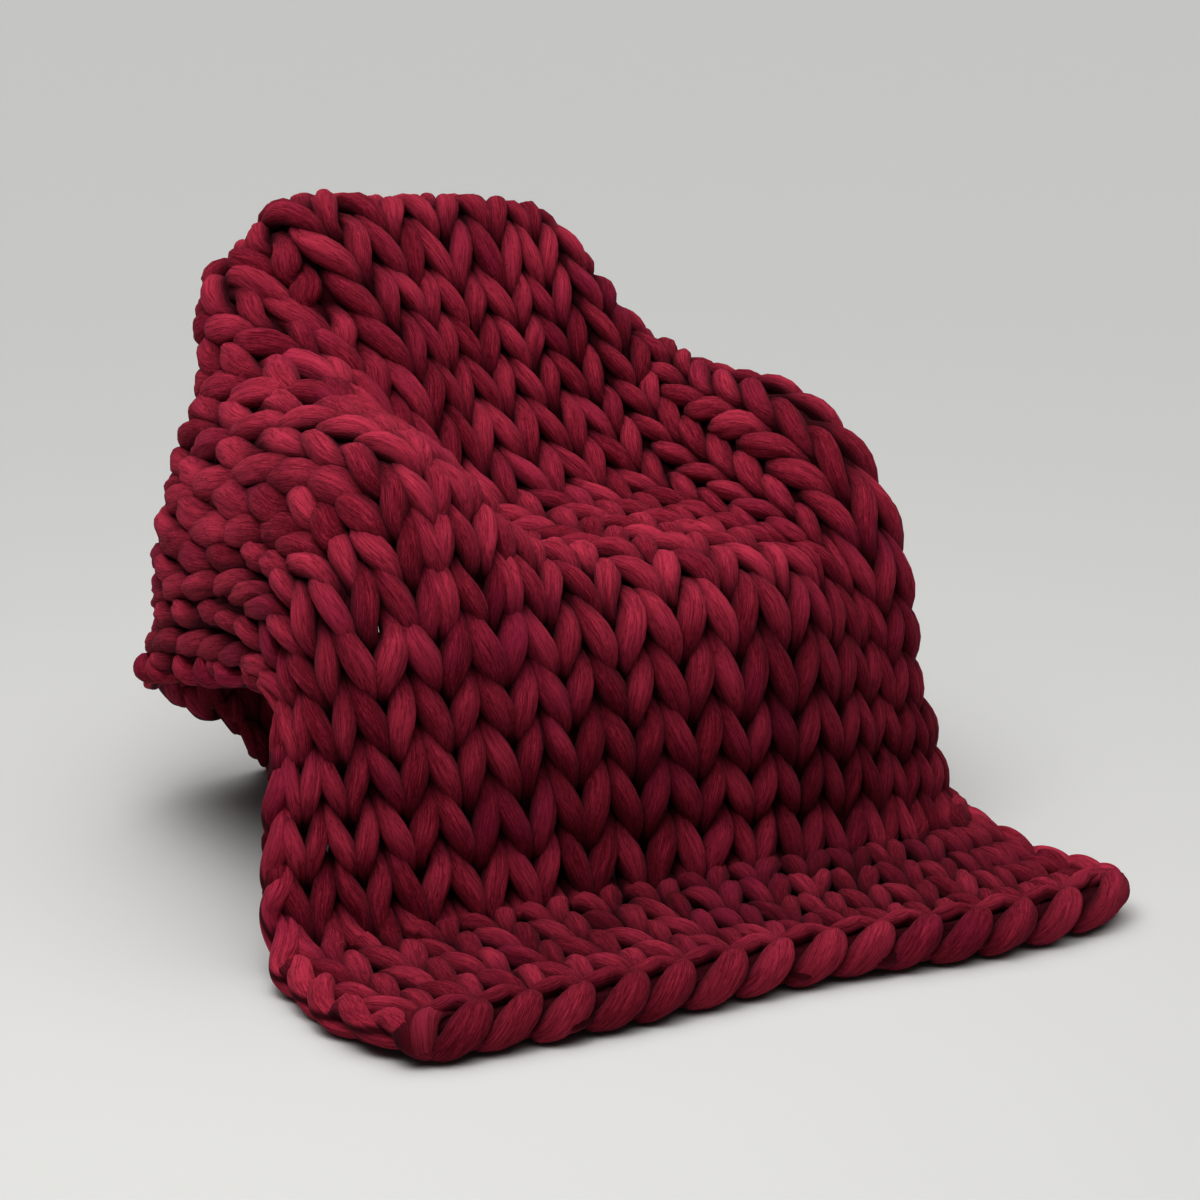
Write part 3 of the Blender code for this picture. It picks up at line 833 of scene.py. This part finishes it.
chainSettings = {
    "hemLinks": 14,
    "endLinks": 20,
    "pointsPerLink": 38,
    "unevenLink": 0.05,  # links that the chain wanders along the edge, and links from one value to the next
    "unevenEvery": 0.5,
    "dark": 0.23,  # share of painted shade on the whole roll, which makes it darker
    "hemCourse": (-0.40, -0.24),  # courses of the roll's axis at the front hem, left and right
    "endCourse": (24.72, 24.72),
    "hemRadius": 1.0,  # times the sizes in the tables
    "endRadius": 0.78,
    "endRoom": 0.36,  # wales from the cloth's side edges to the chain's ends
    "coreRoom": 0.05,  # and to the ends of the two plain strands along the roll
    "corePoints": 90,
    "coreHalf": 0.014,  # m
    "coreReach": 0.05,  # share of that between the axis and the core
    "backDegrees": 190,  # a strand behind the roll, low between the feet of the stitches: degrees, m from the
    "backReach": 0.036,  # axis, half width and half depth
    "backHalf": (0.0095, 0.0200),
    "tableStart": 0.30,  # wales from the cloth's side edges to where the roll's end tables start
    "endPoints": 44,
}


def onRoll(wale, degrees, reach, course, outwards):
    # a point round the roll's axis: axis + reach (cos a away from the cloth + sin a up from the cloth); the
    # axis lies at the first course at the left edge and at the second at the right edge
    axisCourse = np.interp(wale, [0, clothSettings["wales"]], course)
    axis = fromNet(cloth["places"], wale, axisCourse, runsOn=True)
    up = unit(fromNet(cloth["out"], wale, axisCourse))
    across = unit(fromNet(cloth["across"], wale, axisCourse))
    away = unit(np.cross(up, across) * outwards)
    angle = np.radians(degrees)[:, None]
    direction = np.cos(angle) * away + np.sin(angle) * up
    return axis + direction * reach[:, None], direction


def rollStrand(wale, degrees, reach, wide, deep, course, outwards, radius, seed):
    # a strand wound on the roll, all its sizes times the radius
    path, direction = onRoll(wale, degrees, reach * radius, course, outwards)
    sizes = (wide * radius, deep * radius)
    strand = unevenStrand(path, direction, *sizes, seed, strandSettings["unevenRoll"])
    return strand | {
        "lift": reach * radius,
        "outside": strandSettings["outsideRoll"] * radius,
        # painted shade over the whole roll
        "dark": np.full(len(path), chainSettings["dark"]),
    }


def chainEdge(course, outwards, radius, links, settings, seed):
    # the link table repeated along the edge and joined by a round curve, a core that fills the roll, and a
    # strand behind it that closes the gaps to the stitches
    table = np.array(chainLink)
    shares, values = [], []
    for link in range(links):
        rows = table[:-1] if link < links - 1 else table
        shares.append(rows[:, 0] + link)
        values.append(rows[:, 1:] + np.array([link, 360.0 * link, 0, 0, 0]))
    shares, values = np.concatenate(shares), np.concatenate(values)
    wanted = np.linspace(0, links, links * settings["pointsPerLink"] + 1)
    along, degrees, reach, wide, deep = roundCurve(shares, values, wanted).T
    along = along + settings["unevenLink"] * wander(wanted, seed + 3, settings["unevenEvery"])
    room = settings["endRoom"]
    wales = np.linspace(room, clothSettings["wales"] - room, clothSettings["arcPoints"])
    arc = arcAcross(wales, course)
    wale = np.interp(along * arc[-1] / links, arc, wales)
    roll = (course, outwards, radius)
    chain = rollStrand(wale, degrees, reach, wide, deep, *roll, seed)
    room = settings["coreRoom"]
    coreWale = np.linspace(room, clothSettings["wales"] - room, settings["corePoints"])
    same = np.ones(coreWale.shape)
    half = same * settings["coreHalf"]
    core = rollStrand(coreWale, same * 0, half * settings["coreReach"], half, half, *roll, seed + 4)
    degrees, reach = same * settings["backDegrees"], same * settings["backReach"]
    wide, deep = (same * size for size in settings["backHalf"])
    back = rollStrand(coreWale, degrees, reach, wide, deep, *roll, seed + 7)
    return [chain, core, back | {"lift": same * 0}]


# The strands that close the roll's ends. Columns: wales from the tables' start, inwards positive, degrees
# round the roll, m from the axis, half width and half depth in m.
endWrap = [
    (1.00, 150, 0.0080, 0.0110, 0.0100),
    (0.50, 118, 0.0155, 0.0120, 0.0110),
    (0.18, 80, 0.0165, 0.0135, 0.0120),
    (0.03, 34, 0.0165, 0.0150, 0.0125),
    (0.02, -14, 0.0165, 0.0155, 0.0125),
    (0.16, -56, 0.0165, 0.0140, 0.0120),
    (0.55, -80, 0.0160, 0.0125, 0.0110),
    (1.10, -66, 0.0110, 0.0110, 0.0100),
]
endCap = [
    (0.75, 165, 0.0100, 0.0110, 0.0105),
    (0.25, 150, 0.0170, 0.0130, 0.0115),
    (-0.06, 125, 0.0135, 0.0155, 0.0125),
    (-0.20, 60, 0.0060, 0.0165, 0.0130),
    (-0.16, -30, 0.0100, 0.0160, 0.0125),
    (0.10, -52, 0.0180, 0.0140, 0.0120),
    (0.60, -75, 0.0160, 0.0115, 0.0110),
]


def rollEnds(course, outwards, radius, settings, seed):
    # a strand round each end of the roll and one over its face, their own ends inside it
    strands = []
    for table in (endWrap, endCap):
        rows = np.array(table)
        wanted = np.linspace(0, len(rows) - 1, settings["endPoints"])
        inwards, degrees, reach, wide, deep = roundCurve(np.arange(len(rows)) * 1.0, rows, wanted).T
        fromLeft = settings["tableStart"] + inwards
        fromRight = clothSettings["wales"] - settings["tableStart"] - inwards
        for wale in (fromLeft, fromRight):
            seed += 1
            strands.append(rollStrand(wale, degrees, reach, wide, deep, course, outwards, radius, seed))
    return strands


selvedgeSettings = {
    # courses, and there the wales from the cloth's edge to the middle of the rope
    "inwards": ((-1.0, 0.16), (8.0, 0.20), (10.5, 0.02), (16.0, 0.04), (17.5, 0.2), (25.0, 0.15)),
    "swing": 0.13,  # wales and m from the rope's middle to its two strands
    "heave": 0.0105,
    "coursesPerTurn": 1.85,
    "drift": 0.5,  # radians that the turns wander, and courses from one random value to the next
    "driftEvery": 1.3,
    "half": 0.0158,  # m, half the thickness of a strand, times the mean share of it and what it swells by
    "halfMean": 0.97,
    "halfSwell": 0.15,
    "outside": 0.008,  # m from the rope's middle to where its wool has no painted shade
    "firstCourse": -0.50,
    "lastCourse": 24.7,
    "pointsPerCourse": 20,
}


def selvedge(side, phase, settings, seed):
    # one of two strands twisted round each other: wale = edge + swing sin a, outward = heave cos a, with
    # a = 2 pi courses / courses per turn + phase, fattest where it comes to the front
    first, last = settings["firstCourse"], settings["lastCourse"]
    course = np.linspace(first, last, int((last - first) * settings["pointsPerCourse"]))
    inwards = np.interp(course, *np.array(settings["inwards"]).T)
    angle = turn * course / settings["coursesPerTurn"] + phase
    angle = angle + settings["drift"] * wander(course, seed + 5, settings["driftEvery"])
    wale = inwards + settings["swing"] * np.sin(angle)
    out = settings["heave"] * np.cos(angle)
    half = settings["half"] * (settings["halfMean"] + settings["halfSwell"] * np.cos(angle))
    if side:
        wale = clothSettings["wales"] - wale
    push = apart(wale, course)[:, 0]
    strand = carriedStrand(wale, course, out + push, half, half, seed)
    return strand | {"outside": settings["outside"]}


wool = woolMaterial(woolSettings)
sideAndPhase = ((0, 0.0), (0, math.pi), (1, 0.0), (1, math.pi))
selvedges = [selvedge(*both, selvedgeSettings, 41 + 6 * k) for k, both in enumerate(sideAndPhase)]
woolPiece("sideEdges", selvedges, wool)
middles, lines = stitchLines(stitchSettings)
print("stitches in each row", [len(line) - 1 for line in lines])
pieceRows = {
    "floorCourses": (0, 4),
    "apronCourses": (5, 9),
    "seatCourses": (10, 14),
    "backCourses": (15, 19),
    "rearCourses": (20, 24),
}
for pieceName, (firstRow, lastRow) in pieceRows.items():
    woolPiece(pieceName, [knittedRows(firstRow, lastRow, middles, lines, stitchSettings)], wool)
for edge, outwards, seed in (("hem", -1, 61), ("end", 1, 81)):
    roll = (chainSettings[edge + "Course"], outwards, chainSettings[edge + "Radius"])
    chainStrands = chainEdge(*roll, chainSettings[edge + "Links"], chainSettings, seed)
    chainStrands += rollEnds(*roll, chainSettings, seed + 10)
    woolPiece(edge + "Chain", chainStrands, wool)

studioSettings = {
    "floorRadius": 60.0,
    "floorSides": 96,
    "floorColour": (0.50, 0.50, 0.492, 1.0),
    "floorRoughness": 0.95,
    # the sky's light from the horizon, from above it and from overhead, and the heights where each holds
    "horizon": (0.13, 0.13, 0.13),
    "middle": (0.02, 0.02, 0.02),
    "overhead": (2.0, 2.0, 1.99),
    "stops": ((0.22, "horizon"), (0.30, "middle"), (0.66, "middle"), (0.84, "overhead")),
}


def studio(settings):
    # a wide round floor, and a sky whose light depends on its height, the sine of the angle over the horizon:
    # pale at the horizon, dim above it and bright overhead
    angle = turn * np.arange(settings["floorSides"]) / settings["floorSides"]
    ring = np.stack([np.cos(angle), np.sin(angle), angle * 0], axis=-1) * settings["floorRadius"]
    mesh = bpy.data.meshes.new("studioFloor")
    mesh.from_pydata(ring.tolist(), [], [list(range(settings["floorSides"]))])
    material = bpy.data.materials.new("paleFloor")
    material.use_nodes = True
    surface = material.node_tree.nodes["Principled BSDF"]
    surface.inputs["Base Color"].default_value = settings["floorColour"]
    surface.inputs["Roughness"].default_value = settings["floorRoughness"]
    mesh.materials.append(material)
    floor = bpy.data.objects.new("studioFloor", mesh)
    bpy.context.scene.collection.objects.link(floor)
    world = bpy.data.worlds.new("studioSky")
    world.use_nodes = True
    nodes, links = world.node_tree.nodes, world.node_tree.links
    direction = nodes.new("ShaderNodeTexCoord")
    parts = nodes.new("ShaderNodeSeparateXYZ")
    ramp = nodes.new("ShaderNodeValToRGB")
    links.new(direction.outputs["Generated"], parts.inputs["Vector"])
    links.new(parts.outputs["Z"], ramp.inputs["Fac"])
    links.new(ramp.outputs["Color"], nodes["Background"].inputs["Color"])
    elements = ramp.color_ramp.elements
    for height, name in settings["stops"][2:]:
        elements.new(height)
    for element, (height, name) in zip(elements, settings["stops"]):
        element.position = height
        element.color = (*settings[name], 1.0)
    bpy.context.scene.world = world


def aimed(thing, place, target):
    # the thing stands at place and looks along its own -Z at target
    thing.location = place
    thing.rotation_euler = (Vector(target) - Vector(place)).to_track_quat("-Z", "Y").to_euler()
    bpy.context.scene.collection.objects.link(thing)


lampSettings = {
    "place": (-0.7, -1.1, 3.9),  # it shines evenly on everything, from this side
    "target": (0.0, 0.0, 0.0),
    "strength": 0.8,  # W per square metre
    "spread": 50.0,  # degrees across, which makes its shadows soft
    "colour": (1.0, 0.99, 0.975),
}

softBoxSettings = {
    "place": (-1.0, -0.8, 2.3),  # m, near the blanket's left side, which it lights more than the right
    "target": (-0.1, 0.0, 0.4),
    "side": 1.2,  # m
    "power": 26.0,  # W
    "colour": (1.0, 0.99, 0.975),
}


def wideLamp(settings):
    # light from a round patch of sky as wide as its spread
    light = bpy.data.lights.new("wideLamp", "SUN")
    light.energy = settings["strength"]
    light.angle = math.radians(settings["spread"])
    light.color = settings["colour"]
    aimed(bpy.data.objects.new("wideLamp", light), settings["place"], settings["target"])


def softBox(settings):
    # a square lamp with even light over its face
    light = bpy.data.lights.new("softBox", "AREA")
    light.shape = "SQUARE"
    light.size = settings["side"]
    light.energy = settings["power"]
    light.color = settings["colour"]
    aimed(bpy.data.objects.new("softBox", light), settings["place"], settings["target"])


cameraSettings = {
    "place": (-1.6447, -2.9404, 1.2545),  # m
    "turnedRight": 30.0,  # degrees from +Y
    "lookingDown": 15.0,
    "lens": 81.6,  # mm, and the sensor's width in mm
    "sensor": 36.0,
    "seesUpTo": 60.0,  # m
}


def makeCamera(settings):
    # ahead = (sin turned cos down, cos turned cos down, -sin down)
    lens = bpy.data.cameras.new("camera")
    lens.lens = settings["lens"]
    lens.sensor_width = settings["sensor"]
    lens.clip_end = settings["seesUpTo"]
    turned, down = math.radians(settings["turnedRight"]), math.radians(settings["lookingDown"])
    ahead = (math.sin(turned) * math.cos(down), math.cos(turned) * math.cos(down), -math.sin(down))
    camera = bpy.data.objects.new("camera", lens)
    target = [place + step for place, step in zip(settings["place"], ahead)]
    aimed(camera, settings["place"], target)
    bpy.context.scene.camera = camera


studio(studioSettings)
wideLamp(lampSettings)
softBox(softBoxSettings)
makeCamera(cameraSettings)
bpy.context.scene.view_settings.view_transform = "Standard"
print("studio, lamps and camera")
